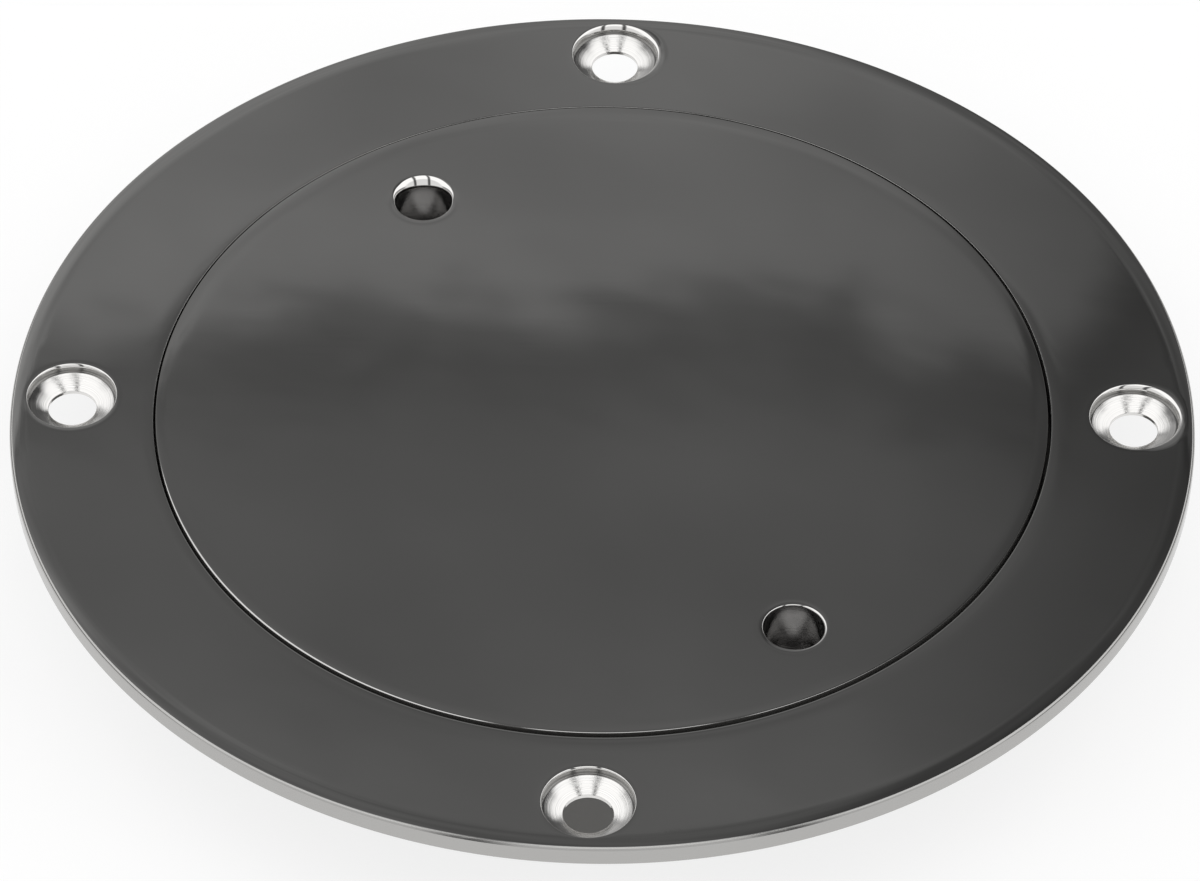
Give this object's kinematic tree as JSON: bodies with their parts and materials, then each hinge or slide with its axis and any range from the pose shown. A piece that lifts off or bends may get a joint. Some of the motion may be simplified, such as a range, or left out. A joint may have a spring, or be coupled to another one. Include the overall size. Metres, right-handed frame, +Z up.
{
  "type": "deck inspection plate",
  "caption": "Round flush deck plate: a countersunk flange with a threaded collar and a screw-in lid with blind key holes, sealed by an O-ring.",
  "frame": {"origin": "centre of the flange's underside, on the deck line", "axes": "+Z up out of the deck, along the axis of the lid; the four screw holes lie on the X and Y axes"},
  "size_m": [0.14, 0.14, 0.0165],
  "materials": {
    "flange_steel": "mirror-polished stainless steel casting, with machined bores and countersinks",
    "lid_steel": "mirror-polished stainless steel casting, with a turned neck and skirt",
    "seal_rubber": "black nitrile rubber"
  },
  "bodies": {
    "flange": {"deck_flange": "flange_steel"},
    "seal_ring": {"lid_o_ring": "seal_rubber"},
    "lid": {"screw_lid": "lid_steel"}
  },
  "joints": [
    {"name": "lid_lift", "type": "slide", "parent": "flange", "child": "seal_ring", "axis": [0, 0, 1], "range_m": [0, 0.00726]},
    {"name": "lid_turn", "type": "hinge", "parent": "seal_ring", "child": "lid", "pos_m": [0, 0, 0], "axis": [0, 0, 1], "range_deg": [0, 870]}
  ],
  "couplings": [
    {"joint": "lid_lift", "follows": "lid_turn", "m_per_rad": 0.00047746}
  ]
}
